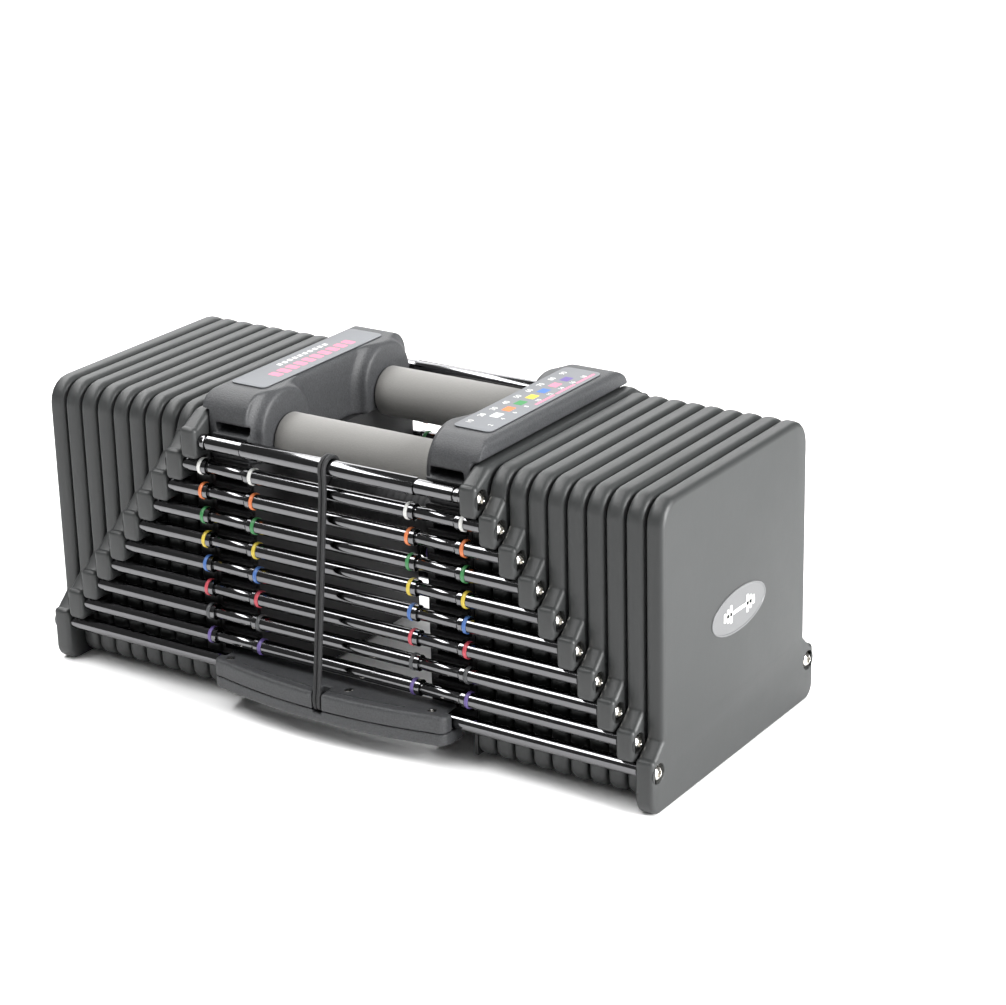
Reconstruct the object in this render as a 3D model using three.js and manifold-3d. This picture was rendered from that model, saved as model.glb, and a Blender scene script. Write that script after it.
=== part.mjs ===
// Adjustable dumbbell: a handle core nested inside nine U-shaped weights, with a selector pin.
// Millimetres. +X runs along the dumbbell, -Y is the side the selector pin enters, +Z is up.
// The origin is on the floor, under the middle of the whole object's box.
import * as THREE from 'three';
import { mergeVertices } from 'three/addons/utils/BufferGeometryUtils.js';
import Module from 'manifold-3d';

const wasm = await Module();
wasm.setup();

// Driving dimensions
const GAP = 0.3;                 // clearance between touching pieces
const WEIGHT_COUNT = 9;          // nested weights; row 0 is the handle core
const ROW_PITCH = 15.3;          // height step from one pair of rails to the next
const ROW_0_Z = 163;             // rail axis of the handle core
const RAIL_Y = 87.6;             // rail axis in front of and behind the middle

const PLATE_PITCH = 12.36;       // spacing of the plates along X
const PLATE_THICKNESS = 11.3;
const PLATE_0_OUTER_X = 103.5;   // outer face of the core's own plate
const PLATE_HALF_DEPTH = 82.5;
const PLATE_TOP_Z = 179.6;
const PLATE_TOP_RADIUS = 15;
const PLATE_BOTTOM_RADIUS = 9;
const INNER_PLATE_LIFT = 3;      // only the outermost weight touches the floor

const EAR_REACH = 94.3;          // front face of an ear
const EAR_RADIUS = 3;
const EAR_RISE = 8.8;            // ear top above the rail axis
const EAR_DROP = 10.3;           // ear bottom below the rail axis
const EAR_FLAT = 3.6;            // level stretch on top of the ear
const EAR_SHOULDER = 16.8;       // where the ear's slope meets the plate, above the rail axis

const RAIL_RADIUS = 4.5;
const CORE_RAIL_RADIUS = 5.2;
const CORE_RAIL_END_RADIUS = 4.6;
const CORE_RAIL_STEP_X = 61;
const BOLT_HEAD_RADIUS = 4.75;
const BOLT_HEAD_HEIGHT = 3.4;
const BOLT_HEAD_PROUD = 0.7;
const BOLT_SHANK_RADIUS = 2.8;
const BOLT_POCKET_RADIUS = 6.2;
const BOLT_POCKET_DEPTH = BOLT_HEAD_HEIGHT - BOLT_HEAD_PROUD + GAP;
const RAIL_SIDES = 8;

const CAP_INNER_X = 57;          // face of the bosses that hold the padded tubes
const CAP_WALL_X = 64.2;         // recessed wall between the bosses
const CAP_BODY_X = 91.7;         // side that lies against the core's plate
const CAP_BRIM_X = 97;           // brim over the top of the core's plate
const CAP_HALF_DEPTH = 80.5;
const CAP_TOP = 28;              // heights of the cap, from the row 0 rail axis
const CAP_BRIM_UNDERSIDE = 17.4;
const CAP_BOTTOM = -12;
const CAP_CORNER_RADIUS = 15;
const CAP_EDGE_RADIUS = 6;
const BOSS_EDGE_Y = 27;          // where a boss ends and the recess begins
const RECESS_HALF_WIDTH = 19;
const CAP_POCKET_X = 66;
const CAP_POCKET_HALF_DEPTH = 61;

const SLOT_INNER_X = 65.8;       // pin slots, one above each row and one under the last
const SLOT_OUTER_X = 89.7;
const SLOT_LOW = 4.6;            // slot's lower edge above the rail axis under it
const SLOT_HEIGHT = 6;

const FRAME_INNER_X = 61;        // slotted side frames under the caps
const FRAME_PANEL_X = 65.5;      // their inner panels, which hold the grip clear of the prongs
const FRAME_BOTTOM_Z = 3;

const TUBE_Y = 50;               // padded tubes across the top
const TUBE_DROP = 3;
const TUBE_RADIUS = 12;
const TUBE_BORE_RADIUS = 10.3;
const TUBE_HALF_LENGTH = 62;
const SLEEVE_RADIUS = 15.5;
const ADDER_RADIUS = 10;
const ADDER_HALF_LENGTH = 60;

const GRIP_Z = 108;
const GRIP_RADIUS = 16.5;
const GRIP_END_RADIUS = 14.5;
const GRIP_HALF_LENGTH = 60;
const GRIP_ROD_RADIUS = 6.5;
const GRIP_ROD_HALF_LENGTH = 65;

const LABEL_INNER_X = 66;
const LABEL_OUTER_X = 91.4;
const LABEL_HALF_LENGTH = 60;
const LABEL_THICKNESS = 0.5;

const PRONG_INNER_X = 67;        // the selector's two flat prongs
const PRONG_OUTER_X = 80;
const PRONG_TIP_RADIUS = 5.5;
const PRONG_THICKNESS = 5;
const PRONG_TIP_Y = 93.5;
const HANDLE_END_X = 83;         // the selector's handle
const HANDLE_END_Y = 101;
const HANDLE_FRONT_Y = 110.5;
const HANDLE_BACK_Y = 92.7;
const HANDLE_LIP_Y = 81.5;       // lip and base that reach round the lowest rail
const HANDLE_BOTTOM_Z = 13.1;
const HANDLE_SEAM_Z = 21.5;
const HANDLE_TOP_Z = 32.3;
const HANDLE_LIP_HALF_WIDTH = 79;
const HANDLE_LIP_THICKNESS = 2.1;
const NOTCH_HALF_WIDTH = 3.7;    // notch for the tether cord
const NOTCH_BACK_Y = 99;
const NOTCH_POCKET_Y = 106.5;    // the deeper part behind the front wall, which holds the cord stop
const NOTCH_DEPTH = 1.8;         // below the seam between the shells
const NOTCH_POCKET_DEPTH = 5;

const CORD_HALF_WIDTH = 2.7;     // two strands lying side by side
const CORD_HALF_THICKNESS = 1.35;
const STOP_RADIUS = 3.1;
const STOP_LENGTH = 5.5;

// Derived places
const rowZ = (row) => ROW_0_Z - row * ROW_PITCH;
const plateOuterX = (row) => PLATE_0_OUTER_X + row * PLATE_PITCH;
const LAST_ROW = WEIGHT_COUNT;
const PRONG_Z = rowZ(LAST_ROW) - ROW_PITCH / 2;
const BLOCK_Y = (HANDLE_FRONT_Y - EAR_REACH) / 2;

// Materials: one per piece, from a small set of finishes
const finishes = {
  urethane: { color: 0x2d3031, roughness: 0.62, metalness: 0 },
  blackChrome: { color: 0x1b1c1e, roughness: 0.18, metalness: 1 },
  grainyPlastic: { color: 0x232526, roughness: 0.8, metalness: 0 },
  steel: { color: 0x9a9b9c, roughness: 0.35, metalness: 1 },
  greyPad: { color: 0x8e8c87, roughness: 0.9, metalness: 0 },
  blackPad: { color: 0x1c1d1d, roughness: 0.9, metalness: 0 },
  label: { color: 0xa9abae, roughness: 0.5, metalness: 0 },
  cord: { color: 0x111212, roughness: 0.85, metalness: 0 },
};

function piece(name, geometry, finish) {
  const mesh = new THREE.Mesh(geometry, new THREE.MeshStandardMaterial(finishes[finish]));
  mesh.name = name;
  return mesh;
}

// Booleans
function toSolid(geometry) {
  const bare = geometry.clone();
  bare.deleteAttribute('normal');
  bare.deleteAttribute('uv');
  const merged = mergeVertices(bare, 1e-4);
  return new wasm.Manifold(new wasm.Mesh({
    numProp: 3,
    vertProperties: new Float32Array(merged.attributes.position.array),
    triVerts: new Uint32Array(merged.index.array),
  }));
}

function toGeometry(solid) {
  const mesh = solid.getMesh();
  const geometry = new THREE.BufferGeometry();
  geometry.setAttribute('position', new THREE.BufferAttribute(new Float32Array(mesh.vertProperties), 3));
  geometry.setIndex(new THREE.BufferAttribute(new Uint32Array(mesh.triVerts), 1));
  return geometry;
}

const cut = (body, ...tools) => tools.reduce((solid, tool) => solid.subtract(toSolid(tool)), body);
const join = (body, ...others) => others.reduce((solid, other) => solid.add(toSolid(other)), body);

// Basic shapes
function box([x0, x1], [y0, y1], [z0, z1]) {
  const geometry = new THREE.BoxGeometry(x1 - x0, y1 - y0, z1 - z0);
  return geometry.translate((x0 + x1) / 2, (y0 + y1) / 2, (z0 + z1) / 2);
}

// An outline of corners [a, b, radius], rounded with one curve each
function roundedOutline(corners) {
  const shape = new THREE.Shape();
  const count = corners.length;
  corners.forEach(([a, b, radius], index) => {
    const corner = new THREE.Vector2(a, b);
    const before = new THREE.Vector2(...corners[(index + count - 1) % count]);
    const after = new THREE.Vector2(...corners[(index + 1) % count]);
    const start = corner.clone().add(before.sub(corner).setLength(radius));
    const end = corner.clone().add(after.sub(corner).setLength(radius));
    if (index === 0) shape.moveTo(start.x, start.y);
    else shape.lineTo(start.x, start.y);
    if (radius > 0) shape.quadraticCurveTo(corner.x, corner.y, end.x, end.y);
  });
  shape.closePath();
  return shape;
}

// Extrude an outline drawn in (Y, Z) along X, in (X, Z) along -Y, or in (X, Y) along Z
function extrude(shape, from, to, plane, curveSegments = 4) {
  const settings = { depth: to - from, bevelEnabled: false, curveSegments };
  const geometry = new THREE.ExtrudeGeometry(shape, settings).translate(0, 0, from);
  if (plane === 'YZ') geometry.applyMatrix4(new THREE.Matrix4().makeBasis(
    new THREE.Vector3(0, 1, 0), new THREE.Vector3(0, 0, 1), new THREE.Vector3(1, 0, 0)));
  if (plane === 'XZ') geometry.rotateX(Math.PI / 2);
  return geometry;
}

// A turned piece along X, from [radius, x] points
function turned(points, sides) {
  const profile = points.map(([radius, x]) => new THREE.Vector2(radius, x));
  return new THREE.LatheGeometry(profile, sides).rotateZ(-Math.PI / 2);
}

const rod = (radius, halfLength, sides) => turned(
  [[0, -halfLength], [radius, -halfLength], [radius, halfLength], [0, halfLength]], sides);

const pipe = (bore, radius, halfLength, sides) => turned(
  [[bore, -halfLength], [radius, -halfLength], [radius, halfLength], [bore, halfLength],
    [bore, -halfLength]], sides);

// Plates: one flat plate with an ear at the front and one at the back
function plateOutline(row) {
  const axis = rowZ(row);
  const isLast = row === LAST_ROW;
  const bottom = isLast ? 0 : INNER_PLATE_LIFT;
  const earTop = axis + EAR_RISE;
  const flatEnd = EAR_REACH - EAR_FLAT;
  const shoulder = Math.min(axis + EAR_SHOULDER, PLATE_TOP_Z - 0.4);
  const topRadius = row === 0 ? 6 : PLATE_TOP_RADIUS;
  const half = [[PLATE_HALF_DEPTH - (row === 0 ? 4 : 0), PLATE_TOP_Z, topRadius]];
  if (row > 0) half.push([PLATE_HALF_DEPTH, shoulder, 1.5]);
  half.push([flatEnd, earTop, 1]);
  half.push([EAR_REACH, earTop, EAR_RADIUS - 1]);
  if (isLast) {
    half.push([EAR_REACH, bottom, PLATE_BOTTOM_RADIUS]);
  } else {
    half.push([EAR_REACH, axis - EAR_DROP, EAR_RADIUS]);
    half.push([PLATE_HALF_DEPTH, axis - EAR_DROP, 0.5]);
    half.push([PLATE_HALF_DEPTH, bottom, PLATE_BOTTOM_RADIUS]);
  }
  const rear = half.map(([y, z, radius]) => [y, z, radius]);
  const front = half.map(([y, z, radius]) => [-y, z, radius]).reverse();
  return roundedOutline([...front, ...rear]);
}

// Built as a right-hand plate with its outer face at x = 0
function plateGeometry(row) {
  const blank = extrude(plateOutline(row), -PLATE_THICKNESS, 0, 'YZ', 2);
  const hole = BOLT_SHANK_RADIUS + GAP + 0.1;
  const boltTool = () => turned([[0, -PLATE_THICKNESS - 1], [hole, -PLATE_THICKNESS - 1],
    [hole, -BOLT_POCKET_DEPTH], [BOLT_POCKET_RADIUS, -BOLT_POCKET_DEPTH],
    [BOLT_POCKET_RADIUS, 1], [0, 1]], RAIL_SIDES);
  const tools = [-RAIL_Y, RAIL_Y].map((y) => boltTool().translate(0, y, rowZ(row)));
  return toGeometry(cut(toSolid(blank), ...tools));
}

function makePlates(row) {
  const geometry = plateGeometry(row);
  return [['right', 1], ['left', -1]].map(([side, sign]) => {
    const mesh = piece(`plate_${row}_${side}`, geometry, 'urethane');
    mesh.position.x = sign * plateOuterX(row);
    mesh.rotation.z = sign > 0 ? 0 : Math.PI;
    return mesh;
  });
}

// Rails: a turned bar between the two plates, with the bolt at each end
function railGeometry(row) {
  const outer = plateOuterX(row);
  const end = outer - PLATE_THICKNESS - GAP;
  const headBase = outer + BOLT_HEAD_PROUD - BOLT_HEAD_HEIGHT;
  const headTop = outer + BOLT_HEAD_PROUD;
  const body = row === 0
    ? [[CORE_RAIL_RADIUS, CORE_RAIL_STEP_X], [CORE_RAIL_END_RADIUS, CORE_RAIL_STEP_X + 0.6],
      [CORE_RAIL_END_RADIUS, end]]
    : [[RAIL_RADIUS, end]];
  const half = [...body, [BOLT_SHANK_RADIUS, end], [BOLT_SHANK_RADIUS, headBase],
    [BOLT_HEAD_RADIUS, headBase], [BOLT_HEAD_RADIUS, headTop - 1.6], [3, headTop], [0, headTop]];
  const mirrored = half.map(([radius, x]) => [radius, -x]).reverse();
  return turned([...mirrored, ...half], RAIL_SIDES);
}

function makeRails(row) {
  const geometry = railGeometry(row);
  return [['front', -1], ['rear', 1]].map(([side, sign]) => {
    const mesh = piece(`rail_${row}_${side}`, geometry, 'blackChrome');
    mesh.position.set(0, sign * RAIL_Y, rowZ(row));
    return mesh;
  });
}

// Both side pieces of the core are drawn on the right and turned half round for the left
function bothSides(name, geometry, finish) {
  return [['right', 0], ['left', Math.PI]].map(([side, turn]) => {
    const mesh = piece(`${name}_${side}`, geometry, finish);
    mesh.rotation.z = turn;
    return mesh;
  });
}

// Pin slots through the front and rear walls, for the rows from first to last
function slotTools(first, last) {
  const tools = [];
  for (let row = first; row <= last; row += 1) {
    const low = rowZ(row) + SLOT_LOW;
    tools.push(box([SLOT_INNER_X, SLOT_OUTER_X], [-100, 100], [low, low + SLOT_HEIGHT]));
  }
  return tools;
}

// Sockets for the ends of the two padded tubes
const tubeSockets = () => [-TUBE_Y, TUBE_Y].map((y) => (
  rod(TUBE_RADIUS + GAP, TUBE_HALF_LENGTH + GAP, 20).translate(0, y, ROW_0_Z - TUBE_DROP)));

function capGeometry() {
  const bottom = ROW_0_Z + CAP_BOTTOM;
  const top = ROW_0_Z + CAP_TOP;
  const brim = ROW_0_Z + CAP_BRIM_UNDERSIDE;
  const side = extrude(roundedOutline([
    [-CAP_HALF_DEPTH, bottom, 0], [CAP_HALF_DEPTH, bottom, 0],
    [CAP_HALF_DEPTH, top, CAP_CORNER_RADIUS], [-CAP_HALF_DEPTH, top, CAP_CORNER_RADIUS],
  ]), CAP_INNER_X - 1, CAP_BRIM_X + 1, 'YZ');
  const section = extrude(roundedOutline([
    [CAP_INNER_X, bottom, 0], [CAP_BODY_X, bottom, 0], [CAP_BODY_X, brim, 0],
    [CAP_BRIM_X, brim, 0], [CAP_BRIM_X, top, CAP_EDGE_RADIUS], [CAP_INNER_X, top, CAP_EDGE_RADIUS],
  ]), -100, 100, 'XZ');
  const recess = extrude(roundedOutline([
    [CAP_INNER_X - 9, -BOSS_EDGE_Y - 7, 0], [CAP_WALL_X, -RECESS_HALF_WIDTH, 6],
    [CAP_WALL_X, RECESS_HALF_WIDTH, 6], [CAP_INNER_X - 9, BOSS_EDGE_Y + 7, 0],
  ]), bottom - 1, top + 1, 'XY');
  const pocket = box([CAP_POCKET_X, SLOT_OUTER_X],
    [-CAP_POCKET_HALF_DEPTH, CAP_POCKET_HALF_DEPTH], [bottom - 1, top - CAP_EDGE_RADIUS]);
  const blank = toSolid(side).intersect(toSolid(section));
  return toGeometry(cut(blank, recess, pocket, ...tubeSockets(), ...slotTools(0, 1)));
}

function sideFrameGeometry() {
  const top = ROW_0_Z + CAP_BOTTOM - GAP;
  const column = (y0, y1) => box([FRAME_INNER_X, CAP_BODY_X], [y0, y1], [FRAME_BOTTOM_Z, top]);
  const inner = CAP_POCKET_HALF_DEPTH + 0.5;
  const panel = box([FRAME_INNER_X, FRAME_PANEL_X], [-inner - 1, inner + 1], [FRAME_BOTTOM_Z, top]);
  const blank = join(toSolid(panel), column(-CAP_HALF_DEPTH, -inner), column(inner, CAP_HALF_DEPTH));
  const lowestSlotTop = PRONG_Z + SLOT_HEIGHT / 2;
  const notch = box([SLOT_INNER_X, SLOT_OUTER_X], [-100, 100], [FRAME_BOTTOM_Z - 1, lowestSlotTop]);
  const rodSocket = rod(GRIP_ROD_RADIUS + GAP, GRIP_ROD_HALF_LENGTH + 2, 16).translate(0, 0, GRIP_Z);
  return toGeometry(cut(blank, ...slotTools(2, LAST_ROW), notch, rodSocket, ...tubeSockets()));
}

function labelGeometry() {
  const base = ROW_0_Z + CAP_TOP + GAP;
  const outline = roundedOutline([
    [LABEL_INNER_X, -LABEL_HALF_LENGTH, 4], [LABEL_OUTER_X, -LABEL_HALF_LENGTH, 4],
    [LABEL_OUTER_X, LABEL_HALF_LENGTH, 4], [LABEL_INNER_X, LABEL_HALF_LENGTH, 4],
  ]);
  return extrude(outline, base, base + LABEL_THICKNESS, 'XY');
}

function makeTubes() {
  const z = ROW_0_Z - TUBE_DROP;
  const sleeveHalf = CAP_INNER_X - GAP;
  return [['front', -TUBE_Y], ['rear', TUBE_Y]].flatMap(([side, y]) => {
    const group = [
      piece(`tube_${side}`, pipe(TUBE_BORE_RADIUS, TUBE_RADIUS, TUBE_HALF_LENGTH, 20), 'steel'),
      piece(`sleeve_${side}`, pipe(TUBE_RADIUS + GAP, SLEEVE_RADIUS, sleeveHalf, 20), 'greyPad'),
      piece(`adder_weight_${side}`, rod(ADDER_RADIUS, ADDER_HALF_LENGTH, 16), 'steel'),
    ];
    group.forEach((mesh) => mesh.position.set(0, y, z));
    return group;
  });
}

function makeGrip() {
  const bore = GRIP_ROD_RADIUS + GAP;
  const half = GRIP_HALF_LENGTH;
  const pad = turned([[bore, -half], [GRIP_END_RADIUS, -half], [GRIP_RADIUS, -half / 2],
    [GRIP_RADIUS, half / 2], [GRIP_END_RADIUS, half], [bore, half], [bore, -half]], 20);
  const grip = piece('grip', pad, 'blackPad');
  const gripRod = piece('grip_rod', rod(GRIP_ROD_RADIUS, GRIP_ROD_HALF_LENGTH, 16), 'steel');
  [grip, gripRod].forEach((mesh) => mesh.position.set(0, 0, GRIP_Z));
  return [grip, gripRod];
}

// Selector: a flat U-shaped fork held between the two shells of its handle
function forkOutline(grow) {
  const inner = PRONG_INNER_X - grow;
  const outer = PRONG_OUTER_X + grow;
  const yokeFront = -HANDLE_BACK_Y - 5.5 - grow;
  const yokeBack = -HANDLE_BACK_Y + 2 + grow;
  const tip = PRONG_TIP_Y + grow;
  return roundedOutline([
    [-outer, yokeFront, 2], [outer, yokeFront, 2],
    [outer, tip, PRONG_TIP_RADIUS], [inner, tip, PRONG_TIP_RADIUS],
    [inner, yokeBack, 1], [-inner, yokeBack, 1],
    [-inner, tip, PRONG_TIP_RADIUS], [-outer, tip, PRONG_TIP_RADIUS],
  ]);
}

// The handle's outline: a bowed front between two rounded ends
function handleOutline(backY) {
  const shape = new THREE.Shape();
  const end = HANDLE_END_X;
  shape.moveTo(-end, -backY);
  shape.lineTo(-end, -HANDLE_END_Y + 4);
  const shoulderY = -HANDLE_END_Y - 1.2;
  const bowY = -2 * HANDLE_FRONT_Y - shoulderY;
  shape.quadraticCurveTo(-end, -HANDLE_END_Y, 8 - end, shoulderY);
  shape.quadraticCurveTo(0, bowY, end - 8, shoulderY);
  shape.quadraticCurveTo(end, -HANDLE_END_Y, end, -HANDLE_END_Y + 4);
  shape.lineTo(end, -backY);
  shape.closePath();
  return shape;
}

function makeSelector() {
  const prongLow = PRONG_Z - PRONG_THICKNESS / 2;
  const prongTop = PRONG_Z + PRONG_THICKNESS / 2;
  const railLow = rowZ(LAST_ROW) - RAIL_RADIUS;
  const bowSegments = 8;
  const notch = (frontY, depth) => box([-NOTCH_HALF_WIDTH, NOTCH_HALF_WIDTH],
    [-frontY, -NOTCH_BACK_Y], [HANDLE_SEAM_Z - depth, HANDLE_TOP_Z + 1]);
  const openNotch = notch(HANDLE_FRONT_Y + 1, NOTCH_DEPTH);
  const stopPocket = notch(NOTCH_POCKET_Y, NOTCH_POCKET_DEPTH);

  const fork = piece('selector_fork', extrude(forkOutline(0), prongLow, prongTop, 'XY'), 'steel');

  const outline = handleOutline(HANDLE_BACK_Y);
  const topBody = extrude(outline, HANDLE_SEAM_Z + GAP / 2, HANDLE_TOP_Z, 'XY', bowSegments);
  const lip = box([-HANDLE_LIP_HALF_WIDTH, HANDLE_LIP_HALF_WIDTH], [-HANDLE_BACK_Y - 1, -HANDLE_LIP_Y],
    [HANDLE_TOP_Z - HANDLE_LIP_THICKNESS, HANDLE_TOP_Z]);
  const top = toGeometry(cut(join(toSolid(topBody), lip), openNotch));

  const baseTop = railLow - GAP;
  const lowBody = extrude(outline, HANDLE_BOTTOM_Z, HANDLE_SEAM_Z - GAP / 2, 'XY', bowSegments);
  const base = box([-HANDLE_END_X, HANDLE_END_X], [-HANDLE_BACK_Y - 1, -HANDLE_LIP_Y],
    [HANDLE_BOTTOM_Z, baseTop]);
  const forkPocket = extrude(forkOutline(GAP), prongLow - GAP, HANDLE_SEAM_Z + 1, 'XY');
  const tools = [forkPocket, openNotch, stopPocket];
  const bottom = toGeometry(cut(join(toSolid(lowBody), base), ...tools));

  return [fork, piece('selector_shell_top', top, 'grainyPlastic'),
    piece('selector_shell_bottom', bottom, 'grainyPlastic')];
}

// Tether cord: from the notch in the selector's handle, up the front, over the core's rail
function makeTether() {
  const frontY = -RAIL_Y - RAIL_RADIUS - CORD_HALF_THICKNESS - 0.8;
  const turnRadius = CORE_RAIL_RADIUS + CORD_HALF_THICKNESS + GAP;
  const points = [
    [0, -NOTCH_BACK_Y - STOP_LENGTH - 1.2, HANDLE_SEAM_Z],
    [0, -HANDLE_FRONT_Y + 1.6, HANDLE_SEAM_Z + 1.5],
    [0, -HANDLE_FRONT_Y + 0.9, HANDLE_SEAM_Z + 6],
    [0, -HANDLE_FRONT_Y + 2.2, HANDLE_TOP_Z + 4],
    [0, frontY - 11.6, HANDLE_TOP_Z + 24],
    [0, frontY - 7.2, HANDLE_TOP_Z + 60],
    [0, frontY - 2.4, HANDLE_TOP_Z + 100],
    [0, frontY - 0.3, ROW_0_Z - 12],
  ];
  for (let angle = 180; angle >= -50; angle -= 23) {
    const turn = THREE.MathUtils.degToRad(angle);
    points.push([0, -RAIL_Y + turnRadius * Math.cos(turn), ROW_0_Z + turnRadius * Math.sin(turn)]);
  }
  const path = new THREE.CatmullRomCurve3(points.map((point) => new THREE.Vector3(...point)));
  const section = new THREE.Shape();
  section.absellipse(0, 0, CORD_HALF_WIDTH, CORD_HALF_THICKNESS, 0, 2 * Math.PI, false, 0);
  const tube = new THREE.ExtrudeGeometry(section, { steps: 44, curveSegments: 4, extrudePath: path });
  const cord = piece('tether_cord', tube, 'cord');
  const stop = piece('cord_stop', rod(STOP_RADIUS, STOP_LENGTH / 2, 12).rotateZ(Math.PI / 2), 'blackPad');
  stop.position.set(0, -NOTCH_BACK_Y - STOP_LENGTH / 2 - 0.5, HANDLE_SEAM_Z);
  return [cord, stop];
}

const dumbbell = new THREE.Group();
const block = new THREE.Group();
block.position.y = BLOCK_Y;
dumbbell.add(block);

for (let row = 0; row <= WEIGHT_COUNT; row += 1) {
  block.add(...makePlates(row), ...makeRails(row));
}
block.add(...bothSides('cap', capGeometry(), 'grainyPlastic'));
block.add(...bothSides('side_frame', sideFrameGeometry(), 'grainyPlastic'));
block.add(...bothSides('label', labelGeometry(), 'label'));
block.add(...makeTubes(), ...makeGrip(), ...makeSelector(), ...makeTether());

export default dumbbell;
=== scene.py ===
import math

import bmesh
import bpy
from mathutils import Matrix, Vector


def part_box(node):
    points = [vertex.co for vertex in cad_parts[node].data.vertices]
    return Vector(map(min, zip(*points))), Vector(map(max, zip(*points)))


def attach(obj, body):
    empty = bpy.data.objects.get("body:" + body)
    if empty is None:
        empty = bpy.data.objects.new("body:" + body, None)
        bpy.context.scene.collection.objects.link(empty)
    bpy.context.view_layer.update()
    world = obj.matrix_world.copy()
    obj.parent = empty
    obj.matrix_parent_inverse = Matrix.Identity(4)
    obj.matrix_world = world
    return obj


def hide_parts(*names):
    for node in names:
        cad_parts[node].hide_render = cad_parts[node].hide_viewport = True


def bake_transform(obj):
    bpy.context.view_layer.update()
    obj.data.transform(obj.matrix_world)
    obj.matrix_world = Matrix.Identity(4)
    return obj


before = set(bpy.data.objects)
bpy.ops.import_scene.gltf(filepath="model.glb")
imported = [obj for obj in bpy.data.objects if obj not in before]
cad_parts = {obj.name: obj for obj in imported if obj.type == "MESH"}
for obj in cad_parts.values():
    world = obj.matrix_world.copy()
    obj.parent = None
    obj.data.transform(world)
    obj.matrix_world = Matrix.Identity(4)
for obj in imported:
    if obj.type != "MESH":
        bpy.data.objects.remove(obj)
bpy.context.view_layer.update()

MM = 0.001

# Places read from the frame, in metres. The block is everything but the selector's handle.
ROWS = range(10)
LAST_ROW = 9


def middle_of(node):
    low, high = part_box(node)
    return (low + high) / 2


ROW_AXES = {
    (row, side): middle_of(f"rail_{row}_{side}") for row in ROWS for side in ("front", "rear")
}
BLOCK_Y = (ROW_AXES[0, "front"].y + ROW_AXES[0, "rear"].y) / 2
ROW_0_Z = ROW_AXES[0, "front"].z
RAIL_Y = ROW_AXES[0, "rear"].y - BLOCK_Y
LABEL_LOW, LABEL_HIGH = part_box("label_right")
SHELL_TOP_LOW, SHELL_TOP_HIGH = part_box("selector_shell_top")
SHELL_LOW, SHELL_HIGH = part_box("selector_shell_bottom")
SIDES = {"right": 1, "left": -1}

# Camera and lights
CAMERA_PLACE = (0.8942, -1.2450, 0.6949)
CAMERA_TURN = math.radians(33.68)
CAMERA_DIP = math.radians(20.75)
CAMERA_ROLL = math.radians(-1.39)
CAMERA_LENS = 98.81
LIGHT_AIM = Vector((0, 0, 0.1))
SOFTBOXES = (
    ("strip_softbox", (-0.95, -0.25, 1.6), (2.2, 0.35), 40),
    ("back_softbox", (-1.1, 1.5, 1.1), (2.4, 1.0), 32),
    ("front_softbox", (0.5, -1.9, 1.5), (1.6, 0.8), 2),
    ("right_softbox", (2.3, 0.0, 0.95), (0.9, 1.4), 150),
)
FILL_STRENGTH = 2.2
FILL_ANGLE = math.radians(60)
WORLD_STRENGTH = 0.16
WORLD_SEEN_STRENGTH = 1.05
FLOOR_HALF_SIZE = 6


# ---------------------------------------------------------------------------
# Stage: camera, lights, floor
# ---------------------------------------------------------------------------
def link(obj):
    bpy.context.scene.collection.objects.link(obj)
    return obj


def make_camera():
    data = bpy.data.cameras.new("camera")
    data.sensor_width = 36
    data.lens = CAMERA_LENS
    camera = link(bpy.data.objects.new("camera", data))
    turn = Matrix.Rotation(CAMERA_TURN, 4, "Z")
    tilt = Matrix.Rotation(math.pi / 2 - CAMERA_DIP, 4, "X")
    roll = Matrix.Rotation(CAMERA_ROLL, 4, "Z")
    camera.matrix_world = Matrix.Translation(CAMERA_PLACE) @ turn @ tilt @ roll
    bpy.context.scene.camera = camera


def make_light(name, place, size, power):
    """A softbox aimed at the middle of the object."""
    data = bpy.data.lights.new(name, "AREA")
    data.shape = "RECTANGLE"
    data.size, data.size_y = size
    data.energy = power
    light = link(bpy.data.objects.new(name, data))
    direction = LIGHT_AIM - Vector(place)
    light.rotation_euler = direction.to_track_quat("-Z", "Y").to_euler()
    light.location = place
    light.visible_camera = False


def make_fill():
    """A broad, even light from above, which keeps the floor white."""
    data = bpy.data.lights.new("fill", "SUN")
    data.energy = FILL_STRENGTH
    data.angle = FILL_ANGLE
    light = link(bpy.data.objects.new("fill", data))
    light.visible_glossy = False


def make_world():
    """White to the camera, and dim to everything else."""
    world = bpy.data.worlds.new("studio")
    world.use_nodes = True
    tree = world.node_tree
    rays = tree.nodes.new("ShaderNodeLightPath")
    strength = tree.nodes.new("ShaderNodeMapRange")
    strength.inputs["To Min"].default_value = WORLD_STRENGTH
    strength.inputs["To Max"].default_value = WORLD_SEEN_STRENGTH
    tree.links.new(rays.outputs["Is Camera Ray"], strength.inputs["Value"])
    background = tree.nodes["Background"]
    background.inputs["Color"].default_value = (1, 1, 1, 1)
    tree.links.new(strength.outputs["Result"], background.inputs["Strength"])
    bpy.context.scene.world = world


def make_stage():
    for name, place, size, power in SOFTBOXES:
        make_light(name, place, size, power)
    make_fill()
    make_world()
    bpy.context.scene.view_settings.view_transform = "Standard"
    bm = bmesh.new()
    bmesh.ops.create_grid(bm, x_segments=1, y_segments=1, size=FLOOR_HALF_SIZE)
    mesh = bpy.data.meshes.new("floor")
    bm.to_mesh(mesh)
    bm.free()
    floor = link(bpy.data.objects.new("floor", mesh))
    finish = Finish("pale_floor", (0.9, 0.9, 0.9), 0.6)
    mesh.materials.append(finish.material)


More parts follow.
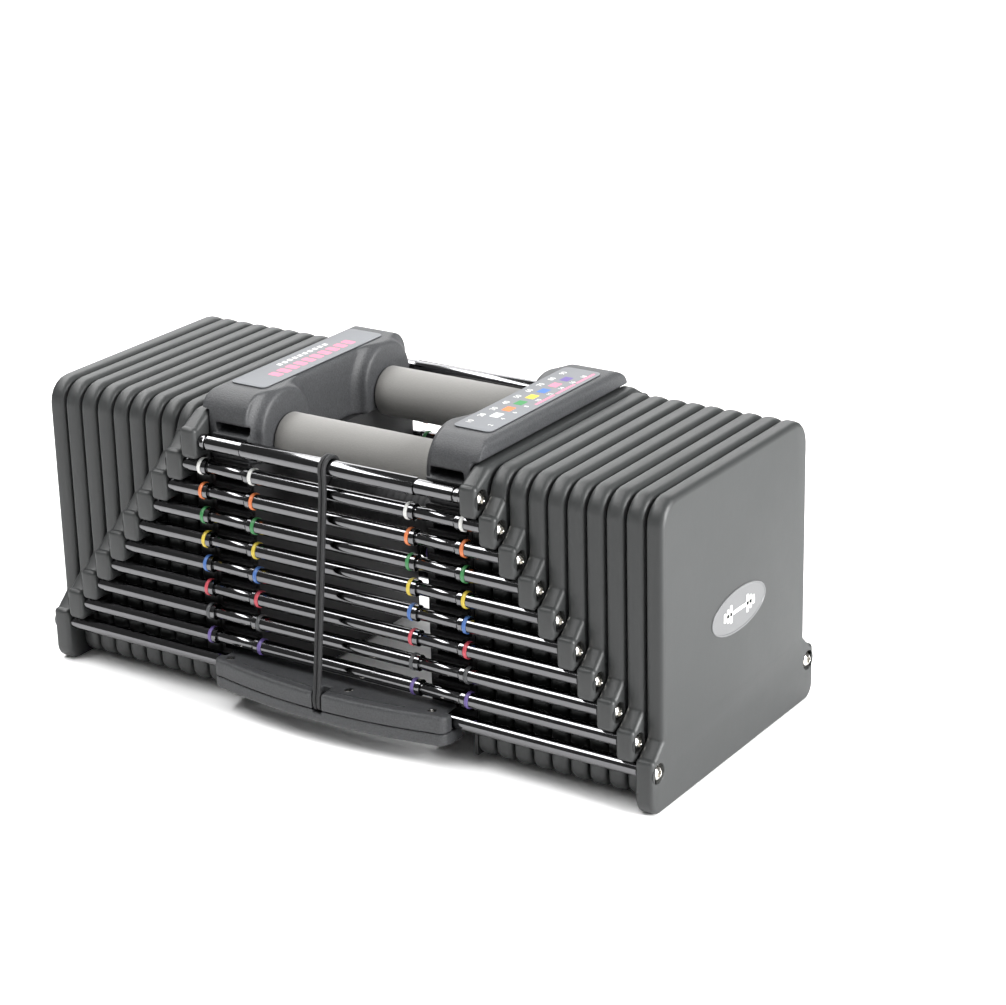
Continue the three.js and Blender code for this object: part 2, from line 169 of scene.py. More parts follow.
# ---------------------------------------------------------------------------
# Materials
# ---------------------------------------------------------------------------
class Value:
    """A node's output that takes part in plain arithmetic; each operation adds a Math node."""

    def __init__(self, finish, socket):
        self.finish = finish
        self.socket = socket

    def math(self, operation, *values):
        return self.finish.node("ShaderNodeMath", {"operation": operation}, dict(enumerate(values)))

    def __add__(self, other):
        return self.math("ADD", self, other)

    def __radd__(self, other):
        return self.math("ADD", other, self)

    def __sub__(self, other):
        return self.math("SUBTRACT", self, other)

    def __rsub__(self, other):
        return self.math("SUBTRACT", other, self)

    def __mul__(self, other):
        return self.math("MULTIPLY", self, other)

    def sine(self):
        return self.math("SINE", self)

    def size(self):
        return self.math("ABSOLUTE", self)


class Finish:
    """A Principled material whose varying inputs are built with node() and Value arithmetic."""

    def __init__(self, name, color, roughness, metallic=0.0):
        self.material = bpy.data.materials.new(name)
        self.material.use_nodes = True
        self.tree = self.material.node_tree
        self.shader = self.tree.nodes["Principled BSDF"]
        self.color = color
        self.set("Base Color", (*color, 1))
        self.set("Roughness", roughness)
        self.set("Metallic", metallic)

    def set(self, socket, value):
        self.connect(self.shader.inputs[socket], value)

    def connect(self, target, value):
        if isinstance(value, Value):
            self.tree.links.new(value.socket, target)
        else:
            target.default_value = value

    def node(self, kind, settings=None, inputs=None, output=0):
        made = self.tree.nodes.new(kind)
        for name, value in (settings or {}).items():
            setattr(made, name, value)
        for name, value in (inputs or {}).items():
            self.connect(made.inputs[name], value)
        return Value(self, made.outputs[output])

    def place(self, stretch=(1, 1, 1)):
        spot = self.node("ShaderNodeTexCoord", output="Object")
        return self.node("ShaderNodeMapping", {}, {"Vector": spot, "Scale": stretch})

    def noise(self, scale, detail=2.0, stretch=(1, 1, 1), roughness=0.5):
        return self.node("ShaderNodeTexNoise", {}, {
            "Vector": self.place(stretch), "Scale": scale, "Detail": detail, "Roughness": roughness,
        }, "Fac")

    def cells(self, scale, stretch=(1, 1, 1)):
        return self.node("ShaderNodeTexVoronoi", {}, {
            "Vector": self.place(stretch), "Scale": scale}, "Distance")

    def shades(self, factor, low, high):
        """Vary the base colour between two brightnesses of it."""
        dark = (*[part * low for part in self.color], 1)
        light = (*[min(1, part * high) for part in self.color], 1)
        mixed = self.node("ShaderNodeMix", {"data_type": "RGBA"}, {0: factor, 6: dark, 7: light}, 2)
        self.set("Base Color", mixed)

    def bump(self, height, depth, strength=1.0):
        """Raise the surface by height times depth, in metres."""
        self.set("Normal", self.node("ShaderNodeBump", {}, {
            "Height": height, "Distance": depth, "Strength": strength}))


def urethane():
    finish = Finish("charcoal_urethane", (0.021, 0.0225, 0.0225), 0.5)
    cloud = finish.noise(28, 3)
    grain = finish.noise(1500, 2)
    finish.shades(cloud * 0.7 + grain * 0.3, 0.86, 1.16)
    finish.set("Roughness", 0.4 + cloud * 0.12 + grain * 0.08)
    finish.bump(grain + finish.noise(160, 2) * 1.6, 0.00005, 0.6)
    return finish


def black_chrome():
    finish = Finish("black_chrome", (0.13, 0.13, 0.134), 0.1, 1.0)
    smear = finish.noise(70, 3, (0.15, 1, 1))
    finish.shades(smear, 0.9, 1.1)
    finish.set("Roughness", 0.07 + smear * 0.08)
    finish.bump(finish.noise(900, 2, (0.05, 1, 1)), 0.000004, 0.5)
    return finish


def nickel():
    finish = Finish("nickel_plate", (0.72, 0.7, 0.66), 0.16, 1.0)
    smear = finish.noise(500, 3)
    finish.shades(smear, 0.86, 1.05)
    finish.set("Roughness", 0.1 + smear * 0.16)
    finish.bump(finish.noise(2600, 2), 0.000008, 0.6)
    return finish


def grainy_plastic():
    finish = Finish("grainy_plastic", (0.03, 0.031, 0.033), 0.55)
    grain = finish.noise(1100, 3, roughness=0.6)
    cloud = finish.noise(45, 2)
    finish.shades(grain * 1.6 + cloud * 0.2 - 0.4, 0.45, 1.8)
    finish.set("Roughness", 0.45 + grain * 0.2)
    finish.bump(grain + finish.cells(900) * 0.5, 0.0002, 0.75)
    return finish


def frame_plastic():
    finish = Finish("frame_plastic", (0.018, 0.018, 0.019), 0.6)
    grain = finish.noise(1100, 3)
    finish.shades(grain, 0.8, 1.25)
    finish.set("Roughness", 0.5 + grain * 0.2)
    finish.bump(grain, 0.0001, 0.7)
    return finish


def label_film():
    finish = Finish("label_film", (0.16, 0.166, 0.175), 0.38)
    flake = finish.noise(2600, 2)
    cloud = finish.noise(60, 2)
    finish.shades(flake * 0.6 + cloud * 0.4, 0.92, 1.08)
    finish.set("Roughness", 0.55 + flake * 0.15)
    finish.set("Specular IOR Level", 0.22)
    finish.bump(flake, 0.00001, 0.5)
    return finish


def badge_face():
    finish = Finish("badge_face", (0.1, 0.102, 0.104), 0.35)
    flake = finish.noise(2200, 2)
    finish.shades(flake, 0.86, 1.15)
    finish.set("Roughness", 0.3 + flake * 0.14)
    finish.bump(flake, 0.00001, 0.5)
    return finish


def print_ink(name, color):
    finish = Finish(name, color, 0.4)
    speckle = finish.noise(3200, 2)
    finish.shades(speckle, 0.94, 1.05)
    finish.set("Roughness", 0.55 + speckle * 0.12)
    finish.set("Specular IOR Level", 0.22)
    return finish


def ring_rubber(name, color):
    finish = Finish(name, color, 0.42)
    grain = finish.noise(1800, 2)
    finish.shades(grain * 0.7 + finish.noise(300, 2) * 0.3, 0.86, 1.12)
    finish.set("Roughness", 0.36 + grain * 0.14)
    finish.bump(grain, 0.00003, 0.6)
    return finish


def brushed_steel():
    finish = Finish("brushed_steel", (0.5, 0.5, 0.51), 0.32, 1.0)
    brushing = finish.noise(900, 3, (1, 0.04, 1))
    finish.shades(brushing, 0.85, 1.08)
    finish.set("Roughness", 0.26 + brushing * 0.2)
    finish.bump(brushing, 0.00001, 0.6)
    return finish


def grey_pad():
    finish = Finish("grey_pad", (0.19, 0.186, 0.177), 0.86)
    weave = finish.noise(1700, 3, (0.45, 1, 1), 0.65)
    cloud = finish.noise(30, 3)
    finish.shades(weave * 0.75 + cloud * 0.25, 0.76, 1.2)
    finish.set("Roughness", 0.78 + weave * 0.16)
    finish.bump(weave + cloud * 0.8, 0.00012, 0.8)
    finish.set("Sheen Weight", 0.15)
    return finish


def grip_rubber():
    finish = Finish("grip_rubber", (0.014, 0.014, 0.015), 0.75)
    grain = finish.noise(1500, 3)
    finish.shades(grain, 0.75, 1.3)
    finish.set("Roughness", 0.6 + grain * 0.2)
    finish.bump(grain, 0.0001, 0.8)
    return finish


THREAD_PITCH = 0.0011
THREADS_AROUND = 4


def braid():
    """Woven from two sets of threads that wind opposite ways round the cord."""
    finish = Finish("black_braid", (0.012, 0.012, 0.013), 0.62)
    along = finish.node("ShaderNodeAttribute", {"attribute_name": "along"}, output="Fac")
    around = finish.node("ShaderNodeAttribute", {"attribute_name": "around"}, output="Fac")
    turns = 2 * math.pi * THREADS_AROUND
    wind = along * (2 * math.pi / THREAD_PITCH)
    left = (wind + around * turns).sine()
    right = (wind - around * turns).sine()
    threads = (left * right).size()
    finish.shades(threads, 0.5, 1.9)
    finish.set("Roughness", 0.7 - threads * 0.2)
    finish.bump(threads, 0.00012, 0.8)
    return finish


INKS = {
    "white": (0.6, 0.6, 0.58), "orange": (0.58, 0.16, 0.05), "green": (0.035, 0.19, 0.06),
    "yellow": (0.56, 0.43, 0.05), "blue": (0.05, 0.13, 0.36), "red": (0.43, 0.05, 0.07),
    "grey": (0.06, 0.062, 0.065), "purple": (0.11, 0.075, 0.24), "pink": (0.55, 0.17, 0.24),
}
RING_COLORS = ("white", "orange", "green", "yellow", "blue", "red", "grey", "purple")


def make_finishes():
    made = {
        "urethane": urethane(), "black_chrome": black_chrome(), "nickel": nickel(),
        "cap_plastic": grainy_plastic(), "frame_plastic": frame_plastic(), "label": label_film(),
        "steel": brushed_steel(), "tube_pad": grey_pad(), "grip_pad": grip_rubber(),
        "cord": braid(), "badge_face": badge_face(),
    }
    for name, color in INKS.items():
        made[f"ring_{name}"] = ring_rubber(f"ring_{name}", color)
        made[f"ink_{name}"] = print_ink(f"ink_{name}", color)
    return {name: finish.material for name, finish in made.items()}


# ---------------------------------------------------------------------------
# Mesh helpers
# ---------------------------------------------------------------------------
def finished(name, bm, material, body, crease=34, doubles=1e-6):
    """Turn a bmesh into a piece that rides on a body."""
    if doubles:
        bmesh.ops.remove_doubles(bm, verts=bm.verts, dist=doubles)
    bmesh.ops.recalc_face_normals(bm, faces=bm.faces)
    mesh = bpy.data.meshes.new(name)
    bm.to_mesh(mesh)
    bm.free()
    mesh.shade_smooth()
    mesh.set_sharp_from_angle(angle=math.radians(crease))
    mesh.materials.append(FINISHES[material])
    piece = link(bpy.data.objects.new(name, mesh))
    if body:
        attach(piece, body)
    return piece


def rounded(corners, closed=True, step=18):
    """Points of an outline whose corners [a, b, radius] are rounded with true arcs."""
    points = []
    count = len(corners)
    for index, (a, b, radius) in enumerate(corners):
        corner = Vector((a, b))
        is_end = not closed and index in (0, count - 1)
        if radius == 0 or is_end:
            points.append(corner)
            continue
        before = (Vector(corners[index - 1][:2]) - corner).normalized()
        after = (Vector(corners[(index + 1) % count][:2]) - corner).normalized()
        half = before.angle(after) / 2
        centre = corner + (before + after).normalized() * (radius / math.sin(half))
        start = corner + before * (radius / math.tan(half)) - centre
        end = corner + after * (radius / math.tan(half)) - centre
        sweep = start.angle_signed(end)
        pieces = max(2, round(abs(math.degrees(sweep)) / step))
        for part in range(pieces + 1):
            points.append(centre + Matrix.Rotation(-sweep * part / pieces, 2) @ start)
    return points


def outward(points):
    """Unit normals of a closed outline, pointing away from its inside."""
    count = len(points)
    area = sum(points[i - 1].cross(points[i]) for i in range(count))
    normals = []
    for index in range(count):
        before = (points[index] - points[index - 1]).normalized()
        after = (points[(index + 1) % count] - points[index]).normalized()
        along = (before + after).normalized()
        normals.append(Vector((along.y, -along.x)) * (1 if area > 0 else -1))
    return normals


def ring_edges(bm, ring):
    return [bm.edges.get(pair) for pair in zip(ring, ring[1:] + ring[:1])]


def first_ring(bm, places):
    ring = [bm.verts.new(place) for place in places]
    for pair in zip(ring, ring[1:] + ring[:1]):
        bm.edges.new(pair)
    return ring


def next_ring(bm, ring, places):
    """Extrude a closed ring of vertices and move the new ring to its places, in the same order."""
    made = bmesh.ops.extrude_edge_only(bm, edges=ring_edges(bm, ring))["geom"]
    new = {part for part in made if isinstance(part, bmesh.types.BMVert)}
    following = []
    for vertex, place in zip(ring, places):
        copy = next(e.other_vert(vertex) for e in vertex.link_edges if e.other_vert(vertex) in new)
        copy.co = place
        following.append(copy)
    return following


def fill(bm, *rings):
    """Close one ring, or the flat space between an outer ring and the holes in it."""
    edges = [edge for ring in rings for edge in ring_edges(bm, ring)]
    bmesh.ops.triangle_fill(bm, use_beauty=True, use_dissolve=False, edges=edges)


def slab(bm, outline, low, high, rim_low, rim_high, to_place, holes=(), steps=4):
    """A plate between two heights, whose rims are rounded with radii given point by point.
    All in millimetres; to_place turns an outline point and a height into a place.
    Returns the rings of the holes in the high face."""
    normals = outward(outline)

    def rim_places(angle, rim, face, direction):
        inset = 1 - math.cos(angle)
        rise = direction * (1 - math.sin(angle))
        return [to_place(point - normal * radius * inset, face + radius * rise)
                for point, normal, radius in zip(outline, normals, rim)]

    angles = [math.pi / 2 * part / steps for part in range(steps + 1)]
    levels = [rim_places(angle, rim_low, low, 1) for angle in reversed(angles)]
    levels += [rim_places(angle, rim_high, high, -1) for angle in angles]
    ring = first_ring(bm, levels[0])
    fill(bm, ring)
    for level in levels[1:]:
        ring = next_ring(bm, ring, level)
    hole_rings = [first_ring(bm, [to_place(point, high) for point in hole]) for hole in holes]
    fill(bm, ring, *hole_rings)
    return hole_rings


def circle(centre, radius, count=24):
    return [
        Vector(centre) + Matrix.Rotation(2 * math.pi * i / count, 2) @ Vector((radius, 0))
        for i in range(count)
    ]


def turned(bm, profile, centre, axis=(1, 0, 0), steps=32):
    """Spin a profile of [along, radius] points round an axis through centre."""
    along = Vector(axis)
    out = Vector((0, 0, 1)) if abs(along.z) < 0.5 else Vector((1, 0, 0))
    verts = [bm.verts.new(Vector(centre) + along * x + out * radius) for x, radius in profile]
    edges = [bm.edges.new(pair) for pair in zip(verts, verts[1:])]
    bmesh.ops.spin(bm, geom=verts + edges, cent=centre, axis=along, dvec=(0, 0, 0),
                   angle=2 * math.pi, steps=steps, use_merge=True, use_duplicate=False)


def prism(outline, low, high, to_place):
    """A straight extrusion of an outline as a new bmesh."""
    bm = bmesh.new()
    ring = first_ring(bm, [to_place(point, low) for point in outline])
    fill(bm, ring)
    ring = next_ring(bm, ring, [to_place(point, high) for point in outline])
    fill(bm, ring)
    bmesh.ops.recalc_face_normals(bm, faces=bm.faces)
    return bm


def block(low, high):
    bm = bmesh.new()
    size = Vector(high) - Vector(low)
    centre = (Vector(high) + Vector(low)) / 2
    matrix = Matrix.Translation(centre) @ Matrix.Diagonal((*size, 1))
    bmesh.ops.create_cube(bm, size=1, matrix=matrix)
    return bm


def as_object(name, bm):
    mesh = bpy.data.meshes.new(name)
    bm.to_mesh(mesh)
    bm.free()
    return link(bpy.data.objects.new(name, mesh))


def apply_modifiers(obj):
    graph = bpy.context.evaluated_depsgraph_get()
    mesh = bpy.data.meshes.new_from_object(obj.evaluated_get(graph))
    obj.modifiers.clear()
    obj.data = mesh


def combine(obj, operation, bm):
    """Boolean of an object with one more shape."""
    tool = as_object("tool", bm)
    modifier = obj.modifiers.new("combine", "BOOLEAN")
    modifier.operation = operation
    modifier.solver = "MANIFOLD"
    modifier.object = tool
    apply_modifiers(obj)
    bpy.data.objects.remove(tool)


def moulded(obj, voxel, rounds):
    """Give a joined shape one even skin and soft moulded edges."""
    skin = obj.modifiers.new("skin", "REMESH")
    skin.mode = "VOXEL"
    skin.voxel_size = voxel
    soften = obj.modifiers.new("soften", "SMOOTH")
    soften.factor = 0.5
    soften.iterations = rounds
    apply_modifiers(obj)


def finish_object(obj, name, material, body, crease=38):
    bm = bmesh.new()
    bm.from_mesh(obj.data)
    bpy.data.objects.remove(obj)
    return finished(name, bm, material, body, crease)


def body_of_row(row):
    return "handle_core" if row == 0 else f"weight_{row}"


# ---------------------------------------------------------------------------
# Tether cord: two braided strands from the selector's seam to the core's front rail
# ---------------------------------------------------------------------------
STRAND_RADIUS = 1.35 * MM
CORD_SEAM_Z = 21.5
CORD_TOP = 32.3
CORD_ROUTE = [
    (-105.7, CORD_SEAM_Z), (-108.9, CORD_SEAM_Z + 1.5), (-109.6, CORD_SEAM_Z + 6),
    (-108.3, CORD_TOP + 4), (-105.85, CORD_TOP + 24), (-101.45, CORD_TOP + 60),
    (-96.65, CORD_TOP + 100), (-94.55, 151),
]
CORD_TURN_RADIUS = 6.85


def smooth_line(points, spacing):
    """A Catmull-Rom curve through points, sampled about every spacing."""
    line = [points[0]]
    for index in range(len(points) - 1):
        before = points[max(index - 1, 0)]
        start, end = points[index], points[index + 1]
        after = points[min(index + 2, len(points) - 1)]
        pieces = max(1, round((end - start).length / spacing))
        for part in range(1, pieces + 1):
            t = part / pieces
            spot = 2 * start + (end - before) * t
            spot += (2 * before - 5 * start + 4 * end - after) * t * t
            spot += (3 * start - before - 3 * end + after) * t * t * t
            line.append(spot / 2)
    return line


def sweep(bm, line, radius, sides=12):
    """A closed tube along a line that stays in one plane of constant X."""
    along_layer = bm.verts.layers.float.new("along")
    around_layer = bm.verts.layers.float.new("around")
    travelled = 0.0
    ring = None
    for index, spot in enumerate(line):
        ahead = line[min(index + 1, len(line) - 1)] - line[max(index - 1, 0)]
        ahead.normalize()
        side = Vector((1, 0, 0))
        up = ahead.cross(side)
        places = []
        for part in range(sides):
            angle = 2 * math.pi * part / sides
            places.append(spot + (side * math.cos(angle) + up * math.sin(angle)) * radius)
        if ring is None:
            ring = first_ring(bm, places)
            bmesh.ops.contextual_create(bm, geom=ring_edges(bm, ring))
        else:
            travelled += (spot - line[index - 1]).length
            ring = next_ring(bm, ring, places)
        for part, vertex in enumerate(ring):
            vertex[along_layer] = travelled
            vertex[around_layer] = part / sides
    bmesh.ops.contextual_create(bm, geom=ring_edges(bm, ring))


def make_tether():
    points = [Vector((0, y * MM + BLOCK_Y, z * MM)) for y, z in CORD_ROUTE]
    rail = ROW_AXES[0, "front"]
    for degrees in range(180, -51, -23):
        turn = math.radians(degrees)
        reach = Vector((0, math.cos(turn), math.sin(turn))) * CORD_TURN_RADIUS * MM
        points.append(Vector((0, rail.y, rail.z)) + reach)
    line = smooth_line(points, 1.2 * MM)
    length = sum((b - a).length for a, b in zip(line, line[1:]))
    for side, sign in SIDES.items():
        shift = Vector((sign * STRAND_RADIUS, 0, 0))
        path = [spot + shift for spot in line]
        bm = bmesh.new()
        sweep(bm, path, STRAND_RADIUS)
        strand = finished(f"tether_strand_{side}", bm, "cord", None, 80, doubles=0)
        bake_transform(strand)
        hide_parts("tether_cord")
        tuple(path[-1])


# ---------------------------------------------------------------------------
# Plates
# ---------------------------------------------------------------------------
PLATE_HALF_DEPTH = 82.5
EAR_REACH = 94.3
EAR_FLAT = 3.6
EAR_RISE = 8.8
EAR_DROP = 10.3
EAR_SHOULDER = 16.8
PLATE_RIM = 3.7
EAR_RIM = 2.5
POCKET_RADIUS = 6.2
POCKET_DEPTH = 3.0


def plate_outline(row):
    """Half outline, mirrored, in millimetres: Y from the block's middle, Z from the floor."""
    low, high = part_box(f"plate_{row}_right")
    bottom, top = low.z / MM, high.z / MM
    axis = ROW_AXES[row, "front"].z / MM
    ear_top = axis + EAR_RISE
    half = []
    if row == 0:
        half += [(PLATE_HALF_DEPTH - 4, top, 7)]
    else:
        half += [(PLATE_HALF_DEPTH, top, 15)]
        half += [(PLATE_HALF_DEPTH, min(axis + EAR_SHOULDER, top - 0.4), 2)]
    half += [(EAR_REACH - EAR_FLAT, ear_top, 1)]
    half += [(EAR_REACH, ear_top, 2.6)]
    if row == LAST_ROW:
        half += [(EAR_REACH, bottom, 9)]
    else:
        half += [(EAR_REACH, axis - EAR_DROP, 3), (PLATE_HALF_DEPTH, axis - EAR_DROP, 1)]
        half += [(PLATE_HALF_DEPTH, bottom, 9)]
    front = [(-y, z, radius) for y, z, radius in reversed(half)]
    return rounded(front + half)


def rim_at(point):
    """The rim is full on the plate and tighter on the ears."""
    share = min(1, max(0, (abs(point.x) - 78) / 9))
    return PLATE_RIM + (EAR_RIM - PLATE_RIM) * share * share * (3 - 2 * share)


def make_plate(row, side):
    sign = SIDES[side]
    low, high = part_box(f"plate_{row}_{side}")
    inner, outer = sorted((abs(low.x) / MM, abs(high.x) / MM))
    outline = plate_outline(row)
    rims = [rim_at(point) for point in outline]
    axis = ROW_AXES[row, "front"].z / MM
    holes = [circle((y, axis), POCKET_RADIUS) for y in (-RAIL_Y / MM, RAIL_Y / MM)]

    def to_place(point, height):
        return Vector((sign * height * MM, point.x * MM + BLOCK_Y, point.y * MM))

    bm = bmesh.new()
    rings = slab(bm, outline, inner, outer, rims, rims, to_place, holes)
    for ring, hole in zip(rings, holes):
        centre = sum(hole, Vector((0, 0))) / len(hole)
        lip = [centre + (point - centre) * 0.95 for point in hole]
        ring = next_ring(bm, ring, [to_place(point, outer - 0.35) for point in lip])
        ring = next_ring(bm, ring, [to_place(point, outer - POCKET_DEPTH) for point in lip])
        fill(bm, ring)
    plate = finished(f"plate_{row}_{side}_urethane", bm, "urethane", body_of_row(row))
    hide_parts(f"plate_{row}_{side}")


# ---------------------------------------------------------------------------
# Rails, rings and bolts
# ---------------------------------------------------------------------------
RING_X = (54.98, 92.15)
RING_HALF_WIDTH = 1.15
RING_RADIUS = 5.15
RAIL_RADIUS = 4.5
COLLAR_RADIUS = 4.9
NECK_RADIUS = 3.8
GROOVE_RADIUS = 3.3


def half_profile(row, end):
    """[along, radius] from the rail's middle to its end, in millimetres."""
    if row == LAST_ROW:
        return [(end - 0.6, RAIL_RADIUS), (end, RAIL_RADIUS - 0.6)]
    if row == 0:
        return [
            (59.9, 5.2), (60.4, 5.0), (60.6, 4.2), (61.3, 4.2), (61.5, 4.6), (86.2, 4.6), (86.4, 4.2),
            (86.7, 3.7), (87.6, 3.7), (87.8, 4.4), (88.0, 4.7), (90.2, 4.7), (90.5, 4.4), (end, 4.1),
        ]
    return [
        (56.2, RAIL_RADIUS), (56.3, COLLAR_RADIUS - 0.2), (56.5, COLLAR_RADIUS),
        (59.2, COLLAR_RADIUS), (59.5, COLLAR_RADIUS - 0.3), (59.8, GROOVE_RADIUS),
        (60.8, GROOVE_RADIUS), (61.0, NECK_RADIUS - 0.15), (61.3, NECK_RADIUS),
        (86.1, NECK_RADIUS), (86.4, NECK_RADIUS - 0.15), (86.6, GROOVE_RADIUS),
        (87.6, GROOVE_RADIUS), (87.8, COLLAR_RADIUS - 0.3), (88.1, COLLAR_RADIUS),
        (90.6, COLLAR_RADIUS), (90.8, COLLAR_RADIUS - 0.2), (90.9, RAIL_RADIUS),
        (93.9, RAIL_RADIUS), (end - 0.5, RAIL_RADIUS), (end, RAIL_RADIUS - 0.5),
    ]


def make_rail(row, side):
    axis = ROW_AXES[row, side]
    centre = Vector((0, axis.y, axis.z))
    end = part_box(f"plate_{row}_right")[0].x / MM - 0.2
    half = half_profile(row, end)
    profile = [(-end, 0)] + [(-x, r) for x, r in reversed(half)] + half + [(end, 0)]
    bm = bmesh.new()
    turned(bm, [(x * MM, r * MM) for x, r in profile], centre, steps=40)
    body = body_of_row(row)
    rail = finished(f"rail_{row}_{side}_bar", bm, "black_chrome", body, 30)
    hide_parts(f"rail_{row}_{side}")


def make_rings(row, side):
    axis = ROW_AXES[row, side]
    color = RING_COLORS[row - 1]
    w, r, bore = RING_HALF_WIDTH, RING_RADIUS, RAIL_RADIUS + 0.05
    section = [(-w, bore), (-w, r - 0.4), (-w + 0.12, r - 0.12), (-w + 0.4, r), (w - 0.4, r),
               (w - 0.12, r - 0.12), (w, r - 0.4), (w, bore), (-w, bore)]
    bm = bmesh.new()
    for x in (-RING_X[1], -RING_X[0], RING_X[0], RING_X[1]):
        centre = Vector((x * MM, axis.y, axis.z))
        turned(bm, [(a * MM, b * MM) for a, b in section], centre, steps=40)
    finished(f"rings_{row}_{side}", bm, f"ring_{color}", body_of_row(row), 50)


WASHER_RADIUS = 5.75
WASHER_THICKNESS = 0.9
HEAD_RADIUS = 4.3
HEAD_HEIGHT = 2.8
SOCKET_RADIUS = 2.0
SOCKET_DEPTH = 1.7


def bolt_ring(radius, height, is_hexagon, place, count=24):
    """A circle or a hexagon of the same number of points, facing along the bolt."""
    points = []
    for index in range(count):
        angle = 2 * math.pi * index / count
        share = (angle + math.pi / 6) % (math.pi / 3) - math.pi / 6
        reach = radius / math.cos(share) * math.cos(math.pi / 6) if is_hexagon else radius
        points.append(place(reach * math.cos(angle), reach * math.sin(angle), height))
    return points


def make_bolts(row, side):
    axis = ROW_AXES[row, side]
    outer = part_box(f"plate_{row}_right")[1].x / MM
    base = outer - POCKET_DEPTH
    bm = bmesh.new()
    for sign in (-1, 1):
        def place(a, b, height):
            return Vector((sign * height * MM, axis.y + a * MM, axis.z + b * MM))

        washer_top = base + WASHER_THICKNESS
        washer = [(3, base + 0.02), (WASHER_RADIUS, base + 0.02), (WASHER_RADIUS, washer_top - 0.2),
                  (WASHER_RADIUS - 0.2, washer_top), (3, washer_top)]
        ring = None
        for radius, height in washer:
            spots = bolt_ring(radius, height, False, place, 40)
            ring = first_ring(bm, spots) if ring is None else next_ring(bm, ring, spots)
            if radius == 3 and height < washer_top:
                fill(bm, ring)
        fill(bm, ring)
        foot = washer_top + 0.02
        ring = first_ring(bm, bolt_ring(HEAD_RADIUS - 0.3, foot, False, place))
        fill(bm, ring)
        ring = next_ring(bm, ring, bolt_ring(HEAD_RADIUS, foot + 0.3, False, place))
        for part in range(7):
            angle = math.radians(12 + 9.6 * part)
            radius = HEAD_RADIUS * math.cos(angle)
            height = foot + 0.1 + (HEAD_HEIGHT - 0.3) * math.sin(angle) / math.sin(math.radians(70))
            ring = next_ring(bm, ring, bolt_ring(max(radius, SOCKET_RADIUS + 0.3), height, False, place))
        top = foot + HEAD_HEIGHT - 0.2
        ring = next_ring(bm, ring, bolt_ring(SOCKET_RADIUS + 0.1, top, False, place))
        ring = next_ring(bm, ring, bolt_ring(SOCKET_RADIUS, top - 0.15, True, place))
        ring = next_ring(bm, ring, bolt_ring(SOCKET_RADIUS - 0.1, top - SOCKET_DEPTH, True, place))
        fill(bm, ring)
    finished(f"bolts_{row}_{side}", bm, "nickel", body_of_row(row), 35)


# ---------------------------------------------------------------------------
# Caps, side frames, labels and badges
# ---------------------------------------------------------------------------
CAP_HALF_DEPTH = 80.5
CAP_CORNER = 15
CAP_WALL_X = 64.2
CAP_SIDE_X = 91.7
CAP_BRIM_X = 97
CAP_BRIM_Z = 17.4
CAP_TOP_Z = 28
CAP_BOTTOM_Z = -12
BOSS_Y = 51
BOSS_Z = 4
BOSS_RADIUS = 24
SLOT_X = (63.6, 87)
SLOT_Z = (4.6, 10.6)
HOLLOW_X = (66, 89.7)
HOLLOW_HALF_DEPTH = 61
HOLLOW_TOP_Z = 22
TUBE_Y = 50
TUBE_Z = -3
TUBE_SOCKET_X = (40, 62.3)
TUBE_SOCKET_RADIUS = 12.3
SLOT_WALLS_Y = ((-90, -58), (58, 90))
CAP_VOXEL = 0.8 * MM
SLOT_LIP_X = (63, 88)
SLOT_LIP_Z = (-1.9, -0.2)
SLOT_LIP_REACH = 1.2
WELD_REACH = 0.01 * MM
FRAME_EDGE_WIDTH = 0.5 * MM
STEEL_EDGE_WIDTH = 0.35 * MM


def cap_place(sign):
    """Millimetres from the core's rail axis to a place."""
    return lambda x, y, z: Vector((sign * x * MM, y * MM + BLOCK_Y, z * MM + ROW_0_Z))


def boss(place, y_sign):
    """Arched boss round a tube's end, flared into the cap's wall."""
    stations = [(70, 7), (64.6, 7), (63.6, 4.4), (62.4, 2.4), (61, 1.0), (59.6, 0.2), (59, 0),
                (58.4, -0.35), (57.6, -1.1), (57.1, -2.0), (57, -2.9)]
    bm = bmesh.new()
    ring = None
    for x, grow in stations:
        radius = BOSS_RADIUS + grow
        spots = [(y_sign * BOSS_Y - radius, CAP_BOTTOM_Z - 8)]
        for part in range(29):
            angle = math.pi - math.pi * part / 28
            spots.append((y_sign * BOSS_Y + radius * math.cos(angle), BOSS_Z + radius * math.sin(angle)))
        spots.append((y_sign * BOSS_Y + radius, CAP_BOTTOM_Z - 8))
        places = [place(x, y, z) for y, z in spots]
        if ring is None:
            ring = first_ring(bm, places)
            fill(bm, ring)
        else:
            ring = next_ring(bm, ring, places)
    fill(bm, ring)
    bmesh.ops.recalc_face_normals(bm, faces=bm.faces)
    return bm


def box_between(place, x, y, z):
    corners = [place(a, b, c) for a in x for b in y for c in z]
    low = [min(corner[i] for corner in corners) for i in range(3)]
    high = [max(corner[i] for corner in corners) for i in range(3)]
    return block(low, high)


